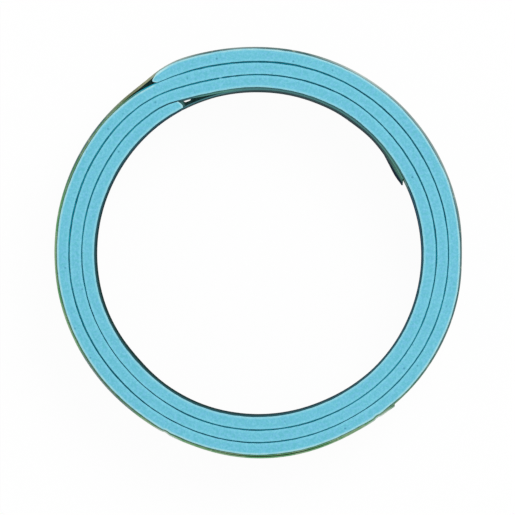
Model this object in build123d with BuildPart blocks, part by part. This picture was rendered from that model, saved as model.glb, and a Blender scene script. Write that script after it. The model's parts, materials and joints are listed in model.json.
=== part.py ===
from build123d import *
import os
from math import acos, cos, degrees, isclose, radians, sin

# A ring gasket for an exhaust pipe, wound from two strips: a thick filler and a thin
# metal foil that lies on its bore side all the way. The foil starts before the filler,
# which gives the bore a lead-in ply, and runs on past its end, where it binds the ring
# with plain plies and is welded down.
# The ring lies flat on its face, its axis is Z, and the origin is at half its height.
# Lengths are in millimetres. Angles are in degrees, counterclockwise from +X seen from
# above, and count on through the turns.

# The ring
bore_radius = 24.0  # to the foil's bore side in its first full turn
ring_height = 15.0

# The two strips
filler_thickness = 1.64
filler_turns = 3
foil_thickness = 0.18
foil_recess = 0.3  # the foil's edges lie this far inside both faces of the ring
winding_slack = 0.03  # room between two faces that are wound on each other
edge_break = 0.1  # broken edges all round the filler's two faces

# The step, where each turn climbs over the filler's inner end
step_start_angle = 87.5
step_angle = 57.0

# The filler's ends. Both are cut at a slant, and rounded out from a straight cut by
# their bulge.
nose_setback_angle = 29.9  # from the start of the step to the inner end, on its bore side
nose_slant_angle = 0.5  # its outer corner is this much further on
nose_bulge_depth = 0.1
shoulder_setback_angle = 28.4  # from the start of the step to where the outer end thins
thinning_angle = 3.9  # from that shoulder to the outer corner of the end
end_slant_angle = 1.7  # from that corner to the end's tip, on its bore side
end_bulge_depth = 0.25

# The foil's inner end: its last bit was never curled, and runs straight across the bore wall
lead_tip_angle = 25.2
lead_flat_angle = 13.8
lead_spring_depth = 0.05  # how far its tip stands in from the curl

# The foil's outer end, over the filler's and on round the ring
tail_rise_angle = 47.0  # the run-up to the corner of the filler's outer end
first_weld_angle = 242.5
second_weld_angle = 305.8
weld_half_angle = 1.2
weld_depth = 0.18
tail_bulge_depth = 0.33  # how far the ply stands off between the two welds
tail_overhang_angle = 5.9  # from the second weld to the foil's end
tail_spring_depth = 0.15  # how far that end stands off

# Sizes that follow from these
full_turn = 360
ply_pitch = foil_thickness + winding_slack
winding_pitch = filler_thickness + winding_slack + ply_pitch
foil_height = ring_height - 2 * foil_recess
step_end_angle = step_start_angle + step_angle
nose_angle = step_start_angle + nose_setback_angle
shoulder_angle = step_start_angle + shoulder_setback_angle
filler_shoulder_angle = full_turn * filler_turns + shoulder_angle
lead_lift_angle = lead_tip_angle + lead_flat_angle
last_turn = filler_turns + 1
bulge_half_angle = (second_weld_angle - first_weld_angle) / 2
bulge_angle = first_weld_angle + bulge_half_angle
tail_free_angle = second_weld_angle + weld_half_angle
tail_end_angle = second_weld_angle + tail_overhang_angle

# The foil's bore side stays at one of these radii between two steps
foil_levels = [bore_radius - ply_pitch]
foil_levels += [bore_radius + winding_pitch * turn for turn in range(last_turn)]
foil_levels += [foil_levels[-1] + ply_pitch]


def rise(share):
    """Goes from 0 to 1 in two arcs that bend against each other and meet halfway."""
    share = min(max(share, 0), 1)
    if share < 1 / 2:
        return 2 * share ** 2
    return 1 - 2 * (1 - share) ** 2


def climb(angle):
    """Share of the step climbed at an angle within a turn: 0 before it, 1 after it."""
    return rise((angle - step_start_angle) / step_angle)


def swell(angle, middle, half_angle):
    """A smooth hump, 1 at its middle and 0 outside its width."""
    return rise(1 - abs(angle - middle) / half_angle)


def dent(angle):
    """Depth of the welds' dimples at an angle within a turn."""
    swells = [swell(angle, weld, weld_half_angle) for weld in (first_weld_angle, second_weld_angle)]
    return weld_depth * sum(swells)


# The last ply leaves the filler's corner on a straight line that just touches the ply below
shoulder_radius = foil_levels[filler_turns] + winding_pitch * (1 + climb(shoulder_angle))
tail_touch_angle = shoulder_angle + degrees(acos(foil_levels[-1] / shoulder_radius))


def tail_inside(angle):
    """Radius of the last ply's bore side at an angle within its turn."""
    if angle < shoulder_angle:
        run_up = rise(1 - (shoulder_angle - angle) / tail_rise_angle)
        return foil_levels[last_turn] + run_up * (shoulder_radius - foil_levels[last_turn])
    if angle < tail_touch_angle:
        return foil_levels[-1] / cos(radians(tail_touch_angle - angle))
    radius = foil_levels[-1] - dent(angle) + tail_bulge_depth * swell(angle, bulge_angle, bulge_half_angle)
    if angle > tail_free_angle:
        radius += tail_spring_depth * ((angle - tail_free_angle) / (tail_end_angle - tail_free_angle)) ** 2
    return radius


def lead_inside(angle):
    """Radius of the foil's straight inner end, from its tip to where it leaves the curl."""
    tip_radius = foil_levels[0] - lead_spring_depth
    lift_radius = foil_levels[0]
    from_tip = tip_radius * sin(radians(angle - lead_tip_angle))
    to_lift = lift_radius * sin(radians(lead_lift_angle - angle))
    return tip_radius * lift_radius * sin(radians(lead_flat_angle)) / (from_tip + to_lift)


def foil_inside(angle):
    """Radius of the foil's bore side at an angle counted from the first turn."""
    if angle < lead_lift_angle:
        return lead_inside(angle)
    turn, within = divmod(angle, full_turn)
    turn = int(turn)
    if turn == last_turn:
        return tail_inside(within)
    radius = foil_levels[turn] + (foil_levels[turn + 1] - foil_levels[turn]) * climb(within)
    if turn == filler_turns:
        radius -= dent(within)
    return radius


def foil_outside(angle):
    return foil_inside(angle) + foil_thickness


def filler_inside(angle):
    return foil_outside(angle) + winding_slack


def filler_outside(angle):
    """The filler keeps its thickness, and gives way where the next ply presses on it."""
    return min(filler_inside(angle) + filler_thickness, foil_inside(angle + full_turn) - winding_slack)


def place(radius, angle):
    return Vector(radius * cos(radians(angle)), radius * sin(radians(angle)))


# Angles where one arc of an edge meets the next
edge_corners = [lead_lift_angle, filler_shoulder_angle]
for turn in range(last_turn):
    edge_corners += [full_turn * turn + step_start_angle + step_angle * share for share in (0, 1 / 2, 1)]
for turn in range(filler_turns - 1, last_turn + 1):
    for weld in (first_weld_angle, second_weld_angle):
        middle = full_turn * turn + weld
        edge_corners += [middle + weld_half_angle * share for share in (-1, -1 / 2, 1 / 2, 1)]
for corner in (
    shoulder_angle - tail_rise_angle,
    shoulder_angle - tail_rise_angle / 2,
    shoulder_angle,
    tail_touch_angle,
    bulge_angle - bulge_half_angle / 2,
    bulge_angle + bulge_half_angle / 2,
):
    edge_corners += [full_turn * last_turn + corner]


def draw_edge(radius_at, start, end):
    """A strip's long edge, in arcs and straight runs from corner to corner."""
    marks = sorted({start, end, *(corner for corner in edge_corners if start < corner < end)})
    for first, last in zip(marks, marks[1:]):
        angles = [first, (first + last) / 2, last]
        radii = [radius_at(angle) for angle in angles]
        points = [place(radius, angle) for radius, angle in zip(radii, angles)]
        way_round = (points[1] - points[0]).length + (points[2] - points[1]).length
        if isclose(radii[0], radii[1]) and isclose(radii[1], radii[2]):
            CenterArc((0, 0), radii[0], first, last - first)
        elif isclose(way_round, (points[2] - points[0]).length, rel_tol=1e-6):
            Line(points[0], points[2])
        else:
            ThreePointArc(*points)


# Filler strip: three full turns, with a blunt nose at the bore. Its outer end thins under
# the straight run of the last ply, and is rounded.
nose_corner_angle = nose_angle + nose_slant_angle
end_corner_angle = filler_shoulder_angle + thinning_angle
filler_end_angle = end_corner_angle + end_slant_angle
nose_tip_point = place(filler_inside(nose_angle), nose_angle)
nose_corner_point = place(filler_outside(nose_corner_angle), nose_corner_angle)
end_corner_point = place(filler_outside(end_corner_angle), end_corner_angle)
filler_end_point = place(filler_inside(filler_end_angle), filler_end_angle)

with BuildPart() as filler_strip:
    with BuildSketch(Plane.XY.offset(-ring_height / 2)):
        with BuildLine():
            draw_edge(filler_inside, nose_angle, filler_end_angle)
            draw_edge(filler_outside, nose_corner_angle, end_corner_angle)
            SagittaArc(nose_tip_point, nose_corner_point, nose_bulge_depth)
            SagittaArc(filler_end_point, end_corner_point, end_bulge_depth)
        make_face()
    extrude(amount=ring_height)
    rims = filler_strip.edges().group_by(Axis.Z)
    chamfer(rims[0] + rims[-1], length=edge_break)
filler_strip.part.label = "filler_strip"

# Foil strip: the lead-in ply, one ply under each turn of filler, and the welded tail
foil_end_angle = full_turn * last_turn + tail_end_angle

with BuildPart() as winding_foil:
    with BuildSketch(Plane.XY.offset(-foil_height / 2)):
        with BuildLine():
            draw_edge(foil_inside, lead_tip_angle, foil_end_angle)
            draw_edge(foil_outside, lead_tip_angle, foil_end_angle)
            for end in (lead_tip_angle, foil_end_angle):
                Line(place(foil_inside(end), end), place(foil_outside(end), end))
        make_face()
    extrude(amount=foil_height)
winding_foil.part.label = "winding_foil"

os.makedirs("parts", exist_ok=True)
export_step(filler_strip.part, "parts/filler_strip.step")
export_step(winding_foil.part, "parts/winding_foil.step")
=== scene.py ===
import json

import bpy
import numpy as np
from mathutils import Matrix, Vector


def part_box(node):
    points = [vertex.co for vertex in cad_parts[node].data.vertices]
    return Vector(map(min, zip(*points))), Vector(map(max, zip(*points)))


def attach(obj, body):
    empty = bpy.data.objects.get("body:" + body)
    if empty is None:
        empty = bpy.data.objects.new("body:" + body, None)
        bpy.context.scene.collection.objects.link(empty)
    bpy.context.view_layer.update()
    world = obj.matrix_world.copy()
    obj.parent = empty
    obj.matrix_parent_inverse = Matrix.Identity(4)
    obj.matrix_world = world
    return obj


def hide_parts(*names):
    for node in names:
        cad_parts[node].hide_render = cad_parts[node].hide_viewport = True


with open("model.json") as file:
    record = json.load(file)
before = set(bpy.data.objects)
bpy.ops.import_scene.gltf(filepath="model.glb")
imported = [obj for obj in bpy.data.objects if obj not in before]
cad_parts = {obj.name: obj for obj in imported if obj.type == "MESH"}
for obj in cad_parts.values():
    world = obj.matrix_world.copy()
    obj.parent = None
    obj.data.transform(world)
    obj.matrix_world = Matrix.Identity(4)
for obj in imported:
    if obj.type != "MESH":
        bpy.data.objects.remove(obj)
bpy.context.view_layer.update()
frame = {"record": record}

# A spiral-wound exhaust gasket: a thick filler strip with pale blue faces, and a thin steel
# foil that lies on its bore side through every turn. Radii, thicknesses and heights are in
# millimetres up to the mesh, where they become metres. Angles are in degrees,
# counterclockwise from +X seen from above, and count on through the turns.

MM = 0.001

mounts = {mount["name"]: mount for mount in frame["record"]["mounts"]}
ring_top = mounts["top_face"]["pos_m"][2] / MM
foil_top = mounts["bore"]["dims"]["length_mm"] / 2

# The winding, as in the solids except where a line says otherwise. The foil turns from its
# inner end, the lead-in ply, to its outer end, the tail.
BORE_RADIUS = 24.0
FILLER_THICKNESS = 1.64
FOIL_THICKNESS = 0.18
SLACK = 0.03
PLY_PITCH = FOIL_THICKNESS + SLACK
WINDING_PITCH = FILLER_THICKNESS + SLACK + PLY_PITCH
FILLER_TURNS = 3
TURN = 360.0
OUTER_END_TURN = TURN * FILLER_TURNS  # angles at the filler's outer end start from here
TAIL_TURN = TURN * (FILLER_TURNS + 1)  # angles on the foil's tail start from here
STEP_START = 87.5
STEP = 57.0
NOSE = 117.4  # the filler's inner end
SHOULDER = 115.9  # where its outer end starts to thin
TAIL_RISE = 47.0  # the last ply's run-up to that shoulder
WELDS = (242.5, 305.8)
WELD_HALF = 1.3  # 1.2 in the solids
WELD_DEPTH = 0.13  # near the faces; the solids have 0.18 all the way
TAIL_BULGE = 0.33  # how far the tail stands off between the welds
TAIL_END = 311.7
TAIL_SLANT = 0.3  # its top corner stops this much short of there
TAIL_SPRING = 0.15  # how far it stands off at its end
LEVELS = np.array(
    [BORE_RADIUS - PLY_PITCH]
    + [BORE_RADIUS + WINDING_PITCH * turn for turn in range(FILLER_TURNS + 1)]
    + [BORE_RADIUS + WINDING_PITCH * FILLER_TURNS + PLY_PITCH]
)

# The foil's straight inner end, with a slanted tip
LEAD_TIP = 25.1  # 25.2 in the solids
LEAD_FREE = 41.0  # from here to the tip it stands free of the ply behind it
LEAD_SLANT = 2.1  # the end's top corner stops this much short of its bottom corner
LEAD_SPRING = 0.04  # how far its top edge stands in from the curl at the tip
LEAD_END = 118  # where the lead-in ply passes under the filler's nose

# The tables below hold (angle, millimetres), as measured in the photo. In the first the angle
# is within a turn, in the others it counts on through the turns.

# How far the bottom of the bore's wall lies outside its top
LEAN = (
    (-20, 0.14), (-8, 0.1), (0, 0.06), (12, 0.01), (24, 0), (90, 0), (106, 0.07), (110, 0.12),
    (113, 0.21), (116, 0.24), (118, 0.07), (212, 0.06), (222, 0.03), (234, 0.12), (246, 0.11),
    (262, 0.07), (285, 0.13), (296, 0.1), (315, 0.19), (330, 0.14), (340, 0.14), (352, 0.1),
    (360, 0.06), (372, 0.01),
)
# The same for the lead-in ply, whose free end springs inwards at the bottom
LEAD_LEAN = (
    (24, -0.22), (26, -0.35), (28, -0.5), (30, -0.56), (32, -0.51), (34, -0.42), (36, -0.33),
    (38, -0.18), (40, -0.16), (44, -0.13), (55, -0.19), (65, -0.14), (75, -0.13), (90, -0.11),
    (98, -0.04), (106, 0.05), (118, 0.07),
)
# How much wider than usual the groove over each ply's edge is, on both of its sides
OPENING = (
    (100, 0), (115, 0), (118, -0.08), (121, -0.06), (125, 0), (470, 0), (480, 0.012),
    (488, 0.004), (504, 0.029), (512, 0.053), (528, 0.023), (536, -0.016), (544, -0.007),
    (552, 0.017), (560, 0.002), (568, 0), (576, -0.017), (592, 0.006), (600, -0.002),
    (616, 0.017), (624, 0.018), (632, 0.038), (640, 0.005), (648, 0.02), (664, 0.016),
    (672, 0.023), (680, 0.043), (688, 0.02), (704, 0.015), (712, 0.033), (728, 0.048),
    (736, 0.023), (752, 0.034), (760, -0.01), (768, 0.032), (784, 0.017), (792, 0.04),
    (816, 0.019), (824, 0.05), (848, 0.005), (864, 0.048), (880, 0.065), (888, 0.063),
    (904, 0.001), (920, 0.049), (944, 0.039), (960, -0.002), (968, -0.011), (976, 0.007),
    (984, 0.007), (992, 0.031), (1008, 0.007), (1016, 0.015), (1024, -0.008), (1032, 0),
    (1040, 0.023), (1048, 0.024), (1056, 0.056), (1064, 0.015), (1072, 0.019), (1080, 0.01),
    (1088, 0.012), (1096, 0.035), (1104, 0.019), (1120, 0.047), (1136, 0.031), (1152, 0.042),
    (1160, 0.037), (1168, 0.055), (1176, 0.054), (1184, 0.034), (1192, 0.027), (1201, -0.02),
    (1204, 0.02), (1214, 0.05), (1218, 0.08), (1221, 0.02), (1224, 0.08), (1244, 0.08),
    (1249, 0.02), (1257, 0), (1266, -0.02), (1273, 0.03), (1288, 0.05), (1296, 0.02),
    (1304, 0.04), (1312, 0.09), (1319, 0.09), (1322, -0.05), (1323, -0.05), (1325, 0.13),
    (1328, 0.08), (1333, 0.06), (1342, 0.09), (1346, 0.06), (1350, 0.01), (1355, 0.06),
    (1365, 0.09), (1376, 0.12), (1382, 0.12), (1385, -0.02), (1386, 0), (1389, 0.19),
    (1393, 0.12), (1394, 0.1), (1402, 0.13), (1410, 0.14), (1432, 0.1), (1440, 0.08),
    (1444, 0.1), (1448, 0.22), (1456, 0.21), (1460, 0.06), (1463, 0.07), (1467, 0.19),
    (1474, 0.2), (1476, 0.1), (1479, 0.19), (1484, 0.16), (1487, 0.12), (1492, 0.18),
    (1506, 0.17), (1518, 0.17), (1526, 0.12), (1533, 0.07), (1540, 0.12), (1549, 0.17),
    (1556, 0.03), (1600, 0.02),
)
# How far the foil's edge is turned in where it lies bare, at the bore and outside
BURR = (
    (384, 0), (400, 0.05), (440, 0.05), (448, 0.12), (456, 0.19), (470, 0.18), (473, 0.06),
    (478, 0.05), (482, 0), (1212, 0), (1220, 0.01), (1290, 0.02), (1350, 0.05), (1390, 0.06),
    (1402, 0.12), (1440, 0.16), (1450, 0.15), (1490, 0.12), (1510, 0.13), (1524, 0.17),
    (1546, 0.17), (1554, 0.03), (1561, 0.18), (1572, 0.18), (1584, 0.04), (1760, 0.04),
)
# How far the plies stray outwards from true circles
STRAY = (
    (0, -0.1), (32, -0.1), (41, -0.08), (44, -0.04), (47, 0.08), (51, -0.02), (55, -0.04),
    (59, 0.12), (62, 0.07), (66, 0.03), (75, 0.07), (90, 0.1), (100, 0.08), (108, 0.02),
    (120, 0), (148, -0.07), (196, 0.08), (204, 0.04), (220, -0.17), (252, 0.01), (264, 0),
    (288, -0.13), (328, 0.06), (340, 0.02), (356, 0.03), (392, -0.11), (410, -0.04),
    (415, -0.03), (419, 0.15), (423, 0.02), (427, 0.03), (446, 0.11), (450, 0.16), (454, 0.21),
    (458, 0.07), (462, -0.01), (468, -0.07), (473, -0.05), (478, -0.01), (483, 0.46),
    (488, 0.08), (494, 0.08), (504, -0.05), (556, 0.07), (584, -0.16), (604, 0.01), (620, 0.09),
    (632, 0.08), (652, -0.03), (680, 0.14), (692, 0.17), (736, 0.05), (756, -0.06), (764, -0.02),
    (774, 0.1), (779, 0.26), (784, 0.17), (812, 0.13), (828, -0.04), (832, -0.04), (836, -0.01),
    (840, 0.03), (844, 0.16), (850, 0.1), (880, -0.01), (908, 0.06), (944, -0.17), (988, 0.06),
    (1020, -0.1), (1052, 0.12), (1076, -0.01), (1092, -0.04), (1116, 0), (1132, 0.1),
    (1160, 0.18), (1176, 0.14), (1188, 0.06), (1193, 0.04), (1197, -0.09), (1201, -0.07),
    (1206, 0.1), (1211, 0.09), (1232, 0.04), (1246, 0.06), (1260, 0.02), (1274, 0.04),
    (1304, -0.16), (1312, -0.17), (1348, 0.07), (1356, 0.06), (1372, -0.09), (1380, -0.11),
    (1396, 0.12), (1404, 0.19), (1416, 0.21), (1426, 0.18), (1433, 0.11), (1440, -0.082),
    (1447, 0.11), (1456, 0.14), (1484, 0.28), (1512, 0.36), (1520, 0.27), (1532, -0.02),
    (1534, -0.13), (1545, -0.2), (1552, 0.02), (1558, 0.12), (1564, 0.09), (1572, 0.08),
    (1580, 0.1), (1600, 0.05), (1612, 0.04), (1620, -0.07), (1628, 0.04), (1640, 0),
    (1672, -0.19), (1696, -0.1), (1728, -0.18), (1740, -0.15), (1746, -0.17), (1749, -0.06),
    (1752, 0.05), (1760, 0.05),
)

# How pale the foil's edge is, 0 to 1, by angle: 1 where it is palest
PALE_SPOTS = (
    (1200, 0), (1444, 0), (1458, 0.3), (1486, 0.4), (1500, 0.8), (1508, 0.5), (1516, 0),
    (1524, 0), (1534, 0.3), (1543, 0), (1551, 0.4), (1556, 0.65), (1560, 0.2), (1564, 0),
    (1638, 0), (1650, 0.16), (1670, 0.16), (1678, 0), (1681, 0.8), (1685, 0.8), (1688, 0),
    (1741, 0), (1744, 0.8), (1748, 0.8), (1751, 0.1), (1760, 0.1),
)

# How green the foil's edge is, as painted light, 0 to 1: by angle on the lead-in ply, and by angle
# within the turn on the ply behind it
LEAD_GREEN = ((36, 0.5), (46, 0.25), (100, 0.15), (118, 0))
GAP_GREEN = (
    (24, 0), (27, 0.5), (36, 0.5), (46, 0.25), (94, 0.2), (102, 0.6), (112, 0.3), (114, 0),
)
# Where the tail crosses the filler's outer end, 0 to 1, by angle
BRIDGE = ((1557, 0), (1561, 1), (1569, 1), (1580, 0))
# Where the foil's edge takes its colour of the outer plies, and loses that of the bore's
OUTER_PLIES = (TAIL_TURN - 235, TAIL_TURN - 229)
BORE_PLIES = (490, 480)
# Where the ply behind the lead-in ply starts and stops being sheltered by it, which takes painted
# light in pale greens, and slate
SHELTER_START, SHELTER_END = (22, 26), (120, 117)
SLATE_START, SLATE_END = (22, 25), (119, 117)
# Stretches of the tail whose edge is painted grey as light, like the lit side: middle, half width,
# and how much, 0 to 1
LIT_GREY_STRETCHES = ((221, 24, 1), (147, 42, 0.7))


def ramp(angle, start, end):
    """0 at the start, 1 at the end, along a straight line."""
    return np.clip((angle - start) / (end - start), 0, 1)


def rise(share):
    """0 to 1 in two parabolas that meet halfway: 2 s^2, then 1 - 2 (1 - s)^2."""
    share = np.clip(share, 0, 1)
    return np.where(share < 0.5, 2 * share**2, 1 - 2 * (1 - share) ** 2)


def swell(angle, middle, half):
    """A hump of height 1 at its middle, 0 beyond its half width."""
    return rise(1 - np.abs(angle - middle) / half)


def joined(table, angle):
    """A table's values at angles, joined by straight lines."""
    return np.interp(angle, *np.array(table).T)


def follow(table, angle, reach=8):
    """A table's values at angles, joined and then smoothed over reach each way."""
    offsets = np.linspace(-reach, reach, 17)
    weights = 1 + np.cos(np.pi * offsets / (reach + 1))
    samples = [joined(table, angle + offset) for offset in offsets]
    return np.tensordot(weights / weights.sum(), np.array(samples), 1)


def dents(within):
    """Depth of the welds' dimples at an angle within a turn."""
    return WELD_DEPTH * sum(swell(within, weld, WELD_HALF) for weld in WELDS)


# The last ply leaves the filler's shoulder on a straight line that touches the ply below
SHOULDER_CLIMB = float(rise((SHOULDER - STEP_START) / STEP))
SHOULDER_RADIUS = LEVELS[FILLER_TURNS] + WINDING_PITCH * (1 + SHOULDER_CLIMB)
TAIL_TOUCH = SHOULDER + np.degrees(np.arccos(LEVELS[-1] / SHOULDER_RADIUS))


def plain_foil(angle):
    """The foil's bore side on true circles: a level per turn, joined by the step's rise.

    The tail rises to the shoulder, crosses the filler's end on a straight line, whose radius is
    level / cos(angle to its touching point), and swells between the welds and at its end.
    """
    turn = np.clip(angle // TURN, 0, FILLER_TURNS).astype(int)
    within = angle - TURN * turn
    step = rise((within - STEP_START) / STEP)
    wound = LEVELS[turn] + (LEVELS[turn + 1] - LEVELS[turn]) * step
    wound = np.where(turn == FILLER_TURNS, wound - dents(within), wound)
    last = angle - TAIL_TURN
    run_up = LEVELS[-2] + rise(1 - (SHOULDER - last) / TAIL_RISE) * (SHOULDER_RADIUS - LEVELS[-2])
    bridge = LEVELS[-1] / np.cos(np.radians(np.clip(TAIL_TOUCH - last, 0, 30)))
    middle, half = sum(WELDS) / 2, (WELDS[1] - WELDS[0]) / 2
    free = ramp(last, WELDS[1], TAIL_END)
    tail = LEVELS[-1] + TAIL_BULGE * swell(last, middle, half) + TAIL_SPRING * free**2
    tail = tail - dents(last)
    tail = np.where(last < TAIL_TOUCH, bridge, tail)
    tail = np.where(last < SHOULDER, run_up, tail)
    return np.where(last >= 0, tail, wound)


def strayed_foil(angle):
    """plain_foil with its stray, and with the corner over the filler's outer end eased."""
    shifts = (-4, -2, 0, 2, 4)
    eased = sum(plain_foil(angle + shift) for shift in shifts) / len(shifts)
    share = swell(angle, TAIL_TURN + SHOULDER, 10)
    return plain_foil(angle) * (1 - share) + eased * share + follow(STRAY, angle)


def foil_inside(angle):
    """strayed_foil, and nowhere does the tail sink into the ply under it."""
    under = strayed_foil(angle - TURN) + FOIL_THICKNESS
    tail = angle > TAIL_TURN + TAIL_TOUCH
    radius = strayed_foil(angle)
    return np.where(tail, np.maximum(radius, under), radius)


def filler_inside(angle):
    return foil_inside(angle) + FOIL_THICKNESS + SLACK


def filler_outside(angle):
    """As far as the next ply of foil, against which the filler is pressed."""
    return foil_inside(angle + TURN) - SLACK


def lean(angle, radius, up):
    """LEAN at the bottom and nothing at the top, and less and less towards the outer plies."""
    inner = ramp(radius, LEVELS[-2], LEVELS[1])
    return follow(LEAN, angle % TURN, 2) * inner * (1 - up) / 2


def ripple(run, size, seed):
    """Seeded heights every size millimetres along a run, joined by eased steps, -1 to 1."""
    values = np.random.default_rng(seed).uniform(-1, 1, int(run.max() / size) + 3)
    left = np.floor(run / size).astype(int)
    share = run / size - left
    share = share * share * (3 - 2 * share)
    return values[left] * (1 - share) + values[left + 1] * share


def wound_mesh(name, points, run, around_way):
    """A closed tube of quads through points[station, profile point, xyz], in millimetres.

    Each end is closed by a strip of faces that joins the section's upper half to its lower
    half. The UV map "strip" holds the run along the strip and the way across it, in metres.
    """
    count, around = points.shape[:2]
    index = np.arange(count * around).reshape(count, around)
    after = np.roll(index, -1, axis=1)
    quads = np.stack([index[:-1], after[:-1], after[1:], index[1:]], axis=-1).reshape(-1, 4)
    upper = np.arange(around // 2)
    lower = around - 1 - upper
    for ring, turned in ((index[0], 1), (index[-1], -1)):
        corners = (ring[upper[:-1]], ring[lower[:-1]], ring[lower[1:]], ring[upper[1:]])
        quads = np.concatenate([quads, np.stack(corners[::turned], axis=-1)])
    mesh = bpy.data.meshes.new(name)
    mesh.vertices.add(count * around)
    mesh.vertices.foreach_set("co", (points * MM).astype(np.float32).ravel())
    mesh.loops.add(quads.size)
    mesh.loops.foreach_set("vertex_index", quads.astype(np.int32).ravel())
    mesh.polygons.add(len(quads))
    mesh.polygons.foreach_set("loop_start", np.arange(0, quads.size, 4, dtype=np.int32))
    mesh.polygons.foreach_set("use_smooth", np.ones(len(quads), dtype=bool))
    strip = np.stack(np.broadcast_arrays(run[:, None], around_way), axis=-1).reshape(-1, 2)
    flat = mesh.uv_layers.new(name="strip")
    flat.data.foreach_set("uv", (strip[quads.ravel()] * MM).astype(np.float32).ravel())
    mesh.update(calc_edges=True)
    return mesh


def mark(mesh, name, values):
    """Stores one number per vertex under a name that the material reads."""
    layer = mesh.attributes.new(name, "FLOAT", "POINT")
    layer.data.foreach_set("value", values.astype(np.float32).ravel())


def put(name, mesh, finish):
    """Places a mesh as an object of the scene, riding on the ring's one body."""
    piece = bpy.data.objects.new(name, mesh)
    bpy.context.scene.collection.objects.link(piece)
    mesh.materials.append(finish)
    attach(piece, "root")
    return piece


def at(radius, angle, height):
    """Points from radius, angle and height, each a grid of the same shape."""
    turned = np.radians(angle)
    return np.stack([radius * np.cos(turned), radius * np.sin(turned), height], axis=-1)


def colour(red, green, blue):
    """A colour written as it looks on screen, 0 to 255, made linear."""
    screen = np.array([red, green, blue]) / 255
    linear = np.where(screen < 0.04045, screen / 12.92, ((screen + 0.055) / 1.055) ** 2.4)
    return (*linear.tolist(), 1.0)


class Wire:
    """A shader socket that takes part in sums."""

    def __init__(self, tree, socket):
        self.tree = tree
        self.socket = socket

    def maths(self, operation, other):
        return self.tree.node("ShaderNodeMath", {"operation": operation}, {0: self, 1: other})[0]

    def __add__(self, other):
        return self.maths("ADD", other)

    def __radd__(self, other):
        return self.maths("ADD", other)

    def __sub__(self, other):
        return self.maths("SUBTRACT", other)

    def __rsub__(self, other):
        return self.tree.node("ShaderNodeMath", {"operation": "SUBTRACT"}, {0: other, 1: self})[0]

    def __mul__(self, other):
        return self.maths("MULTIPLY", other)

    def __rmul__(self, other):
        return self.maths("MULTIPLY", other)

    def clamp(self):
        return self.tree.node("ShaderNodeClamp", {}, {0: self})[0]

    def between(self, low, high):
        """0 below low, 1 above high, eased between them."""
        settings = {"interpolation_type": "SMOOTHSTEP"}
        return self.tree.node("ShaderNodeMapRange", settings, {0: self, 1: low, 2: high})[0]


class Finish:
    """A material's nodes, made one call at a time."""

    def __init__(self, name):
        self.material = bpy.data.materials.new(name)
        self.material.use_nodes = True
        self.nodes = self.material.node_tree.nodes
        self.links = self.material.node_tree.links
        self.nodes.clear()
        self.place = self.node("ShaderNodeTexCoord")["Object"]

    def node(self, kind, settings=None, sockets=None):
        """Adds a node, sets its settings, then gives its sockets their values or links."""
        made = self.nodes.new(kind)
        for setting, value in (settings or {}).items():
            setattr(made, setting, value)
        for socket, value in (sockets or {}).items():
            if isinstance(value, Wire):
                self.links.new(value.socket, made.inputs[socket])
            else:
                made.inputs[socket].default_value = value
        outputs = {}
        for order, socket in enumerate(made.outputs):
            outputs[order] = outputs[socket.name] = Wire(self, socket)
        return outputs

    def noise(self, size, detail=2.0, roughness=0.5, place=None, stretch=None):
        """Noise whose features are about size metres across, from 0 to 1."""
        place = place or self.place
        if stretch:
            place = self.node("ShaderNodeMapping", {}, {"Vector": place, "Scale": stretch})[0]
        sockets = {"Vector": place, "Scale": 1 / size, "Detail": detail, "Roughness": roughness}
        return self.node("ShaderNodeTexNoise", {}, sockets)["Fac"]

    def spots(self, size):
        """Distance to the nearest of points strewn about size metres apart, in those sizes."""
        sockets = {"Vector": self.place, "Scale": 1 / size}
        return self.node("ShaderNodeTexVoronoi", {"feature": "F1"}, sockets)["Distance"]

    def marks(self, *names):
        """The numbers that the mesh stores per vertex under these names."""
        found = []
        for name in names:
            found.append(self.node("ShaderNodeAttribute", {"attribute_name": name})["Fac"])
        return found

    def shifted(self, metres):
        """The piece's own place, moved aside, for a second noise unlike the first."""
        sockets = {0: self.place, 1: (metres,) * 3}
        return self.node("ShaderNodeVectorMath", {"operation": "ADD"}, sockets)[0]

    def strip(self):
        """Length along the strip and the way across it, from the piece's UV map."""
        return self.node("ShaderNodeUVMap", {"uv_map": "strip"})[0]

    def mix(self, factor, first, second):
        """Mixes two colours by a factor."""
        sockets = {0: factor, 6: first, 7: second}
        return self.node("ShaderNodeMix", {"data_type": "RGBA"}, sockets)[2]

    def tone(self, wire, low, high, first, second):
        """Goes from one colour on screen to another as a wire goes from low to high."""
        return self.mix(wire.between(low, high), colour(*first), colour(*second))

    def bump(self, height, strength, distance):
        sockets = {"Height": height, "Strength": strength, "Distance": distance}
        return self.node("ShaderNodeBump", {}, sockets)[0]

    def surface(self, **values):
        """The principled shader and the material's output."""
        shader = self.node("ShaderNodeBsdfPrincipled", {}, values)[0]
        self.node("ShaderNodeOutputMaterial", {}, {"Surface": shader})
        return self.material


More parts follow.
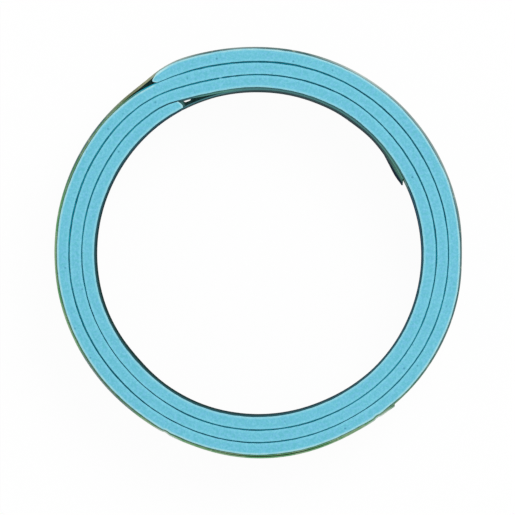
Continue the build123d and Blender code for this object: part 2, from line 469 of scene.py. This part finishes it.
def blue_faced_filler():
    """Pale blue paint on the faces, mottled and grainy, over a dark mineral core, with painted
    highlights along its edges and at its ends.
    """
    finish = Finish("blue_faced_filler")
    rim, side, bare, end = finish.marks("rim", "side", "open", "end")
    along = finish.strip()
    blotch = finish.noise(0.0005, 2.0)
    cloud = finish.noise(0.004, 2.0)
    grain = finish.noise(0.00024, 3.0, 0.7)
    dust = finish.noise(0.0003, 2.0, 0.6, finish.shifted(0.37))
    drag = finish.noise(0.0003, 2.0, 0.6, along, stretch=(0.22, 1, 1))
    paint = finish.tone(blotch, 0.36, 0.64, (97, 189, 206), (114, 194, 225))
    paint = finish.mix(cloud.between(0.35, 0.65) * 0.35, paint, colour(108, 200, 217))
    paint = finish.mix(grain.between(0.3, 0.7) * 0.42, paint, colour(86, 174, 198))
    paint = finish.mix(dust.between(0.46, 0.68) * 0.42, paint, colour(132, 214, 232))
    paint = finish.mix(drag.between(0.55, 0.75) * 0.15, paint, colour(140, 212, 230))
    specks = finish.spots(0.0018).between(0.13, 0.05) * finish.noise(0.003).between(0.41, 0.52)
    paint = finish.mix(specks * 0.6, paint, colour(50, 132, 156))
    ragged = finish.noise(0.0009, 3.0).between(0.25, 0.6)
    # Painted highlights: paler paint along the edges, where their rounding catches the light,
    # strongest at the bare edges, where the paint also shows wear, and at the strip's two ends
    worn_paint_and_highlight = rim.between(0.0003, 0.0001) * bare * (0.45 + 0.55 * ragged)
    end_highlight = end.between(0.00035, 0.00012) * (0.7 + 0.3 * ragged)
    rim_highlight = rim.between(0.00038, 0.0002) * (0.6 + 0.4 * ragged)
    paint = finish.mix(rim_highlight * 0.32, paint, colour(136, 216, 234))
    paint = finish.mix(worn_paint_and_highlight * 0.85, paint, colour(164, 216, 222))
    paint = finish.mix(end_highlight * 0.85, paint, colour(178, 226, 232))
    core_grain = finish.noise(0.0004, 3.0, 0.65)
    core = finish.mix(core_grain, colour(0, 92, 112), colour(10, 132, 156))
    base = finish.mix(side.between(0.45, 0.95), paint, core)
    roughness = 0.62 + 0.2 * grain - 0.1 * worn_paint_and_highlight
    height = grain * 0.5 + drag * 0.3 + blotch * 0.6 - specks * 0.8
    normal = finish.bump(height, 0.35, 0.00006)
    return finish.surface(
        **{"Base Color": base, "Roughness": roughness, "Normal": normal, "Specular IOR Level": 0.3}
    )


def core_in_painted_shade():
    """The filler's core where it is pressed out at an end: crumbly, in painted shade nearly black,
    with painted light near the nose.
    """
    finish = Finish("core_in_painted_shade")
    crumbs = finish.noise(0.0003, 4.0, 0.7)
    lumps = finish.spots(0.0006)
    (lit,) = finish.marks("lit")
    # Painted shade: nearly black, far darker than the same core inside the filler
    tone = finish.tone(crumbs, 0.3, 0.7, (6, 32, 32), (22, 56, 54))
    tone = finish.mix(lumps.between(0.3, 0.1) * 0.5, tone, colour(34, 64, 60))
    # Painted light where the core lies near the nose
    tone = finish.mix(lit, tone, colour(64, 106, 104))
    normal = finish.bump(crumbs + lumps * 0.7, 0.6, 0.0001)
    return finish.surface(
        **{"Base Color": tone, "Roughness": 0.75 + 0.2 * crumbs, "Normal": normal,
           "Specular IOR Level": 0.15}
    )


def rolled_foil(welds):
    """Thin rolled steel: streaked along its length, with sheared edges and a bore side in painted
    shade.

    welds are places on the UV map "strip", in metres, each with a round heat-tinted mark.
    """
    finish = Finish("rolled_foil")
    edge, bore, outer, green, inner, loose = finish.marks(
        "edge", "bore", "outer", "green", "inner", "loose"
    )
    shelter, right, slate, pale_spot, bridge = finish.marks(
        "shelter", "right", "slate", "pale_spot", "bridge"
    )
    along = finish.strip()
    streak = finish.noise(0.0002, 3.0, 0.6, along, stretch=(0.03, 1, 1))
    stain = finish.noise(0.0035, 3.0, 0.6)
    fleck = finish.noise(0.0006, 3.0, 0.6)
    grain = finish.noise(0.00018, 2.0, 0.6)

    # The outer wall, with its tinted welds
    wall = finish.tone(streak, 0.3, 0.7, (96, 102, 98), (128, 134, 126))
    wall = finish.mix(stain.between(0.4, 0.7) * 0.6, wall, colour(92, 104, 88))
    tint = 0.0
    for place in welds:
        sockets = {0: along, 1: (*place, 0)}
        spot = finish.node("ShaderNodeVectorMath", {"operation": "DISTANCE"}, sockets)
        away = spot["Value"] + fleck * 0.0003
        wall = finish.mix(away.between(0.0021, 0.0013) * 0.7, wall, colour(142, 116, 82))
        wall = finish.mix(away.between(0.0014, 0.0009) * 0.8, wall, colour(70, 74, 92))
        tint = tint + away.between(0.0010, 0.0006)

    # The wall at the bore, in painted shade and darker lower down, with painted light where it is
    # sheltered
    height = finish.node("ShaderNodeSeparateXYZ", {}, {0: along})["Y"]
    low = height.between(0.004, -0.006)
    # Painted shade: the bore side of the same steel as the pale outer wall, made dark
    dark = finish.tone(streak, 0.3, 0.7, (36, 66, 63), (48, 79, 75))
    # Painted light: paler and bluer towards the lit side
    dark = finish.mix(right * 0.8, dark, colour(92, 134, 162))
    # Painted shade: darker lower down the bore
    dark = finish.mix(low * 0.6, dark, colour(28, 46, 46))
    # Painted light: the bore wall's painted shade made paler, in slate, on the lead-in ply and the
    # ply behind it, darker lower down
    slate_wall = finish.tone(streak, 0.3, 0.7, (78, 102, 106), (90, 114, 116))
    slate_wall = finish.mix(low * 0.5, slate_wall, colour(62, 82, 92))
    dark = finish.mix(slate, dark, slate_wall)
    # Painted light and shade on the free lead-in ply: pale at its top, dark at its bottom
    lead = finish.tone(height, 0.0032, -0.0018, (106, 158, 142), (42, 62, 82))
    dark = finish.mix((loose * 1.6).clamp(), dark, lead)
    wall = finish.mix(bore * (1 - shelter), wall, dark)
    # Painted light: pale greens for the sheltered walls in the narrow gaps, which lie in shade
    gap = finish.mix(green, colour(87, 147, 147), colour(109, 171, 130))
    wall = finish.mix(shelter, wall, finish.mix(outer, gap, colour(108, 168, 114)))

    # The sheared edge
    seam = finish.tone(stain, 0.35, 0.65, (0, 142, 166), (28, 176, 198))
    seam = finish.mix(inner, seam, colour(46, 94, 102))
    seam = finish.mix(slate, seam, colour(70, 116, 124))
    olive = finish.tone(stain, 0.42, 0.6, (98, 156, 106), (132, 168, 128))
    grey = finish.tone(stain, 0.42, 0.6, (76, 108, 108), (98, 126, 124))
    # Painted light: the outer edge grey on the lit side and on the tail's lit stretches
    rim = finish.mix(right.between(0.35, 0.75), olive, grey)
    rim = finish.mix(bridge, rim, finish.tone(stain, 0.4, 0.6, (116, 122, 94), (150, 152, 120)))
    rim = finish.mix(fleck.between(0.58, 0.7) * 0.4, rim, colour(196, 204, 178))
    rim = finish.mix(pale_spot, rim, colour(196, 212, 206))
    cut = finish.mix(outer, seam, rim)
    # Painted light: the edges near the lead-in ply paler and greener, as lit
    cut = finish.mix(green, cut, colour(102, 164, 138))

    base = finish.mix(edge, wall, cut)
    roughness = 0.55 + 0.25 * streak
    normal = finish.bump(streak * 0.6 + grain * 0.4 - tint * 1.5, 0.3, 0.00002)
    metallic = (1 - edge) * ((1 - bore) * 0.7 + shelter).clamp()
    return finish.surface(
        **{"Base Color": base, "Roughness": roughness, "Normal": normal, "Metallic": metallic,
           "Specular IOR Level": 0.0}
    )


# The two strips
FILLER_STATIONS = 1440
FOIL_STATIONS = 2300
FOIL_TURNS = 4.8  # about how often the foil goes round
CORNER = 0.06  # rounding of the filler's four edges
FOIL_CORNER = 0.045  # and of the foil's
BARE_FROM = TURN * 2 + 122  # from here on, only bare foil lies outside the filler
FLARE = 0.07  # how far the filler's faces are crushed out over the foil's edges
COLLAR = 0.35  # both flare and burr start this far below the foil's edge
FACE_WAVE = 0.015  # how far the filler's faces rise and fall, each way
FACE_DROP = 0.1  # how much lower they end at the strip's two ends
NICK = 822.4  # where crumbs close the groove over the foil's edge
NICK_HALF = 0.5
NICK_DEPTH = 0.1
WELD_HEIGHTS = (-3.2, 3.2)

# The filler's ends, in degrees, where w is the share of its thickness, 0 at its bore side.
# The nose lies at front + slant w^2 + corner (1 - w)^8. The outer end lies at
# tip - curve (w - crest)^2, with a curve for each side of the crest.
NOSE_FRONT = NOSE - 0.1
NOSE_SLANT = 0.85
NOSE_CORNER = 0.4
END_TIP = 121.85
END_CREST = 0.45
END_CURVES = (4.5, 6.8)

# The core that is pressed out into the wedge at each end: where the wedge starts and ends,
# and how much of its width the core fills, by angle
CORE_TOP = 6.95
CORE_STATIONS = 90
CORE_CORNER = 0.02
INNER_WEDGE = (105.0, NOSE + 0.5)
INNER_FILL = ((104, 1), (113.7, 1), (114.3, 0.6), (116.1, 0.57), (116.6, 1), (118, 1))
OUTER_WEDGE = (OUTER_END_TURN + 120.8, OUTER_END_TURN + 127.4)
OUTER_FILL = ((1200, 1), (1208, 1))


def section(corner, bends, across, top, collar=()):
    """Half a strip's section, mirrored to a whole one: side, corner, flat top, corner, side.

    Returns the share of the thickness, the offset from it, the height, how far each point is
    turned from the flat top to the side, 0 to 1, and the part it takes in the flare, outwards
    positive. The collar is a height on each side below which there is no flare.
    """
    bend = np.radians(np.linspace(0, 90, bends))
    flat = np.linspace(0, 1, across + 2)[1:-1]
    below = np.array(collar, dtype=float)
    none = np.zeros(len(below))
    inward = corner * (1 - np.cos(bend))
    drop = corner * (1 - np.sin(bend))
    share = np.concatenate([none, np.zeros(bends), flat, np.ones(bends), none + 1])
    offset = np.concatenate([none, inward, corner * (1 - 2 * flat), -inward[::-1], none])
    height = np.concatenate([below, top - drop, top + 0 * flat, top - drop[::-1], below[::-1]])
    back = 1 - bend / bend.max()
    turned = np.concatenate([none + 1, back, 0 * flat, back[::-1], none + 1])
    spread = np.concatenate([none, np.full(bends, -1.0), 2 * flat - 1, np.ones(bends), none])
    half = (share, offset, height, turned, spread)
    return [np.concatenate([row, -row[::-1] if row is height else row[::-1]]) for row in half]


def stations(count, ends, close):
    """Shares of the way along a strip, some of them crowded into its rounded ends."""
    near = close * (1 - np.cos(np.linspace(0, np.pi / 2, ends, endpoint=False)))
    return np.concatenate([near, np.linspace(close, 1 - close, count), 1 - near[::-1]])


def rounded_off(share, length, corner):
    """How much lower the section is near a strip's two ends: a quarter circle."""
    reach = np.clip(1 - np.minimum(share, 1 - share) * length / corner, 0, 1)
    return corner * (1 - np.sqrt(1 - reach**2))


def run_of(angle, radius):
    """Length along a strip, in millimetres, from its angle and radius at each station."""
    steps = np.radians(np.diff(angle)) * (radius[1:] + radius[:-1]) / 2
    return np.concatenate([[0], np.cumsum(steps)])


def wind_filler():
    """The filler: its section carried along the winding, from the blunt nose to the rounded end.

    Radius = bore side + share of the local thickness + offset + flare + lean. The flare swells
    in waves of 6 mm and of 0.7 mm, of its own on each side, and shrinks where the groove opens.
    """
    collar = (foil_top - COLLAR,)
    share, offset, height, side, spread = section(CORNER, 4, 12, ring_top, collar)
    across = np.clip(share + offset / FILLER_THICKNESS, 0, 1)
    nose = NOSE_FRONT + NOSE_SLANT * across**2 + NOSE_CORNER * (1 - across) ** 8
    curve = np.where(across > END_CREST, END_CURVES[1], END_CURVES[0])
    end = OUTER_END_TURN + END_TIP - curve * (across - END_CREST) ** 2
    length = np.radians(OUTER_END_TURN) * LEVELS[2]
    along = stations(FILLER_STATIONS, 6, FACE_DROP / length)
    angle = nose + along[:, None] * (end - nose)
    inside, outside = filler_inside(angle), filler_outside(angle)
    middle = angle.mean(axis=1)
    run = run_of(middle, plain_foil(middle) + FILLER_THICKNESS / 2)
    inner_half = share[None, :] < 0.5
    bore_crush, outer_crush = (
        (0.72 + 0.4 * ripple(run, 6.0, seed) + 0.25 * ripple(run, 0.7, seed + 1))[:, None]
        for seed in (1, 3)
    )
    crush = FLARE * np.where(inner_half, bore_crush, outer_crush)
    ply = np.where(inner_half, angle, angle + TURN)
    crush = crush - follow(OPENING, ply, 4) + NICK_DEPTH * swell(ply, NICK, NICK_HALF)
    radius = inside + share * (outside - inside) + offset + crush * spread
    radius = radius + lean(angle, radius, height / ring_top)
    low = FACE_WAVE * (1 + ripple(run, 9, 5)) + rounded_off(along, length, FACE_DROP)
    level = np.sign(height) * (np.abs(height) - low[:, None])
    mesh = wound_mesh("filler_winding", at(radius, angle, level), run, share * FILLER_THICKNESS)
    rim = np.minimum(share, 1 - share) * (outside - inside) * MM
    mark(mesh, "rim", rim)
    mark(mesh, "side", side + np.zeros_like(angle))
    bare = np.where(inner_half, 0.5 * (angle < TURN + NOSE), angle > BARE_FROM)
    mark(mesh, "open", bare)
    to_end = np.minimum(along, 1 - along)[:, None] * length * MM
    thin_end = (angle > OUTER_END_TURN + SHOULDER) & (share > 0.5)
    mark(mesh, "end", np.where(thin_end, np.minimum(to_end, rim), to_end + 0 * rim))
    piece = put("filler_winding", mesh, blue_faced_filler())
    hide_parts("filler_strip")


def press_out_core(name, wedge, fill, finish):
    """Core squeezed into the wedge beyond one of the filler's ends, just below its face.

    Radius = the wedge's bore side + share * fill of its width, fill being a table by angle.
    Its faces are uneven, in waves of 0.5 mm and of 1.7 mm.
    """
    share, offset, height, _, _ = section(CORE_CORNER, 3, 4, CORE_TOP)
    start, end = wedge
    along = stations(CORE_STATIONS, 3, 0.01)
    angle = (start + along * (end - start))[:, None] + np.zeros(len(share))
    inside, outside = filler_inside(angle), filler_outside(angle)
    width = follow(fill, angle, 0.3) * (outside - inside)
    radius = inside + share * width + offset
    radius = radius + lean(angle, radius, height / ring_top)
    run = run_of(angle[:, 0], radius[:, 0])
    uneven = 0.12 * ripple(run, 0.5, 21) + 0.1 * ripple(run, 1.7, 22)
    level = height + np.sign(height) * (uneven[:, None] + 0.04 * np.cos(9 * share))
    mesh = wound_mesh(name, at(radius, angle, level), run, share * FILLER_THICKNESS)
    mark(mesh, "lit", ramp(angle, NOSE - 1, NOSE - 0.5) * (angle < TURN))
    piece = put(name, mesh, finish)


def wind_foil():
    """The foil: a thin section carried along its radius formula, with a slanted inner end.

    Radius = foil_inside + lean + share of the thickness + offset + burr. The sheared edges
    wander up and down in waves of 14 mm and of 1.5 mm.
    """
    collar = (foil_top - COLLAR,)
    share, offset, height, side, spread = section(FOIL_CORNER, 3, 1, foil_top, collar)
    up = height / foil_top
    tip = LEAD_TIP + LEAD_SLANT * (1 + up) / 2
    end = TAIL_TURN + TAIL_END - TAIL_SLANT * up
    length = np.radians(TURN * FOIL_TURNS) * LEVELS[2]
    along = stations(FOIL_STATIONS, 4, FOIL_CORNER / length)
    angle = tip + along[:, None] * (end - tip)
    burr = follow(BURR, angle, 2) * np.minimum(spread, 0)
    loose = rise((LEAD_FREE - angle) / (LEAD_FREE - LEAD_TIP))
    inside = foil_inside(angle)
    lead_lean = follow(LEAD_LEAN, angle, 1) * (1 - up) / 2 - LEAD_SPRING * loose * (1 + up) / 2
    inside = inside + np.where(angle < LEAD_END, lead_lean, lean(angle, inside, up))
    radius = inside + share * FOIL_THICKNESS + offset + burr
    middle = angle.mean(axis=1)
    run = run_of(middle, plain_foil(middle))
    shear = 0.05 * ripple(run, 14, 11) + 0.02 * ripple(run, 1.5, 12)
    level = height + np.sign(height) * (shear - rounded_off(along, length, FOIL_CORNER))[:, None]
    mesh = wound_mesh("foil_winding", at(radius, angle, level), run, height)
    inner_side = share[None, :] < 0.5
    second = angle - TURN
    mark(mesh, "edge", np.clip(1.8 * (1 - side), 0, 1) + np.zeros_like(angle))
    mark(mesh, "bore", 1 - share + np.zeros_like(angle))
    mark(mesh, "outer", ramp(angle, *OUTER_PLIES))
    mark(mesh, "inner", ramp(angle, *BORE_PLIES))
    mark(mesh, "loose", loose)
    mark(mesh, "green", np.maximum(joined(LEAD_GREEN, angle), joined(GAP_GREEN, second)))
    # Painted light: where the sheltered walls take their pale greens
    sheltered = ramp(second, *SHELTER_START) * ramp(second, *SHELTER_END)
    sheltered = np.maximum(sheltered, angle > TAIL_TURN + SHOULDER)
    mark(mesh, "shelter", np.where(inner_side, sheltered, ramp(angle, LEAD_END, LEAD_END - 3)))
    # Where the bore wall takes its paler slate painted shade
    behind_lead = ramp(second, *SLATE_START) * ramp(second, *SLATE_END)
    mark(mesh, "slate", np.maximum(ramp(angle, LEAD_END, LEAD_END - 2), behind_lead))
    mark(mesh, "pale_spot", follow(PALE_SPOTS, angle, 3))
    mark(mesh, "bridge", joined(BRIDGE, angle))
    last = angle - TAIL_TURN
    greyer = [much * swell(last, centre, half) for centre, half, much in LIT_GREY_STRETCHES]
    # Painted light: the share of the lit side, towards 40 degrees, and on the tail its lit
    # stretches
    lit_side = (1 + np.cos(np.radians(angle - 40))) / 2
    mark(mesh, "right", np.maximum(lit_side, (last > 0) * np.maximum(*greyer)))
    places = np.interp([TAIL_TURN + weld for weld in WELDS], middle, run).tolist()
    welds = [(place * MM, height * MM) for place in places for height in WELD_HEIGHTS]
    piece = put("foil_winding", mesh, rolled_foil(welds))
    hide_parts("winding_foil")


wind_filler()
wind_foil()
core = core_in_painted_shade()
press_out_core("inner_end_core", INNER_WEDGE, INNER_FILL, core)
press_out_core("outer_end_core", OUTER_WEDGE, OUTER_FILL, core)

# The stage: the floor and the lamp in metres, the camera and its view in millimetres
FLOOR_RADIUS = 1.5
FLOOR_SIDES = 96
SKY_LEVEL = 0.62
LAMP_PLACE = (0.35, 0.45, 0.9)
LAMP_SIZE = 0.6
LAMP_WATTS = 5.7
CAMERA_HEIGHT = 1100  # above the ring's face
CAMERA_PLACE = (4.0, 5.0)
VIEW_CENTRE = (-0.200, -0.705)
VIEW_WIDTH = 75.6  # how much the picture shows at the height of the ring's face
SENSOR_WIDTH = 36


def floor_finish():
    """White that nearly glows where the camera sees it, so that only a faint shadow shows."""
    finish = Finish("floor_white")
    tone = finish.noise(0.4)
    paper = finish.mix(tone, (0.93, 0.93, 0.93, 1), (0.95, 0.95, 0.95, 1))
    lit = finish.node("ShaderNodeBsdfDiffuse", {}, {"Color": paper})[0]
    glow = finish.node("ShaderNodeEmission", {}, {"Strength": 1.0})[0]
    path = finish.node("ShaderNodeLightPath")
    seen = (path["Is Camera Ray"] + path["Is Glossy Ray"] + path["Is Transmission Ray"]).clamp()
    shown = finish.node("ShaderNodeMixShader", {}, {0: seen * 0.96, 1: lit, 2: glow})[0]
    finish.node("ShaderNodeOutputMaterial", {}, {"Surface": shown})
    return finish.material


def lay_floor():
    """A flat disc under the ring."""
    turned = np.linspace(0, 2 * np.pi, FLOOR_SIDES, endpoint=False)
    level = np.full(FLOOR_SIDES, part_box("filler_strip")[0].z)
    rim = np.stack([FLOOR_RADIUS * np.cos(turned), FLOOR_RADIUS * np.sin(turned), level], axis=-1)
    mesh = bpy.data.meshes.new("floor")
    mesh.from_pydata(rim.tolist(), [], [list(range(FLOOR_SIDES))])
    mesh.materials.append(floor_finish())
    floor = bpy.data.objects.new("floor", mesh)
    bpy.context.scene.collection.objects.link(floor)


def light_and_camera():
    """An even pale sky, one soft lamp, and a camera a good metre above the ring."""
    world = bpy.data.worlds.new("sky")
    world.use_nodes = True
    nodes, links = world.node_tree.nodes, world.node_tree.links
    background = nodes["Background"]
    path = nodes.new("ShaderNodeLightPath")
    level = nodes.new("ShaderNodeMapRange")
    level.inputs["To Min"].default_value = SKY_LEVEL
    level.inputs["To Max"].default_value = 1.0
    links.new(path.outputs["Is Camera Ray"], level.inputs["Value"])
    background.inputs["Color"].default_value = (1, 1, 1, 1)
    links.new(level.outputs["Result"], background.inputs["Strength"])
    bpy.context.scene.world = world

    lamp = bpy.data.lights.new("soft_lamp", "AREA")
    lamp.shape = "DISK"
    lamp.size = LAMP_SIZE
    lamp.energy = LAMP_WATTS
    held = bpy.data.objects.new("soft_lamp", lamp)
    held.location = LAMP_PLACE
    held.rotation_euler = held.location.to_track_quat("Z", "Y").to_euler()
    bpy.context.scene.collection.objects.link(held)

    camera = bpy.data.objects.new("camera", bpy.data.cameras.new("camera"))
    target = Vector((*VIEW_CENTRE, ring_top)) * MM
    camera.location = Vector((*CAMERA_PLACE, ring_top + CAMERA_HEIGHT)) * MM
    back = (camera.location - target).normalized()
    right = Vector((0, 1, 0)).cross(back).normalized()
    camera.rotation_euler = Matrix((right, back.cross(right), back)).transposed().to_euler()
    camera.data.sensor_width = SENSOR_WIDTH
    camera.data.lens = SENSOR_WIDTH * CAMERA_HEIGHT / VIEW_WIDTH
    bpy.context.scene.collection.objects.link(camera)
    bpy.context.scene.camera = camera
    bpy.context.scene.view_settings.view_transform = "Standard"


lay_floor()
light_and_camera()
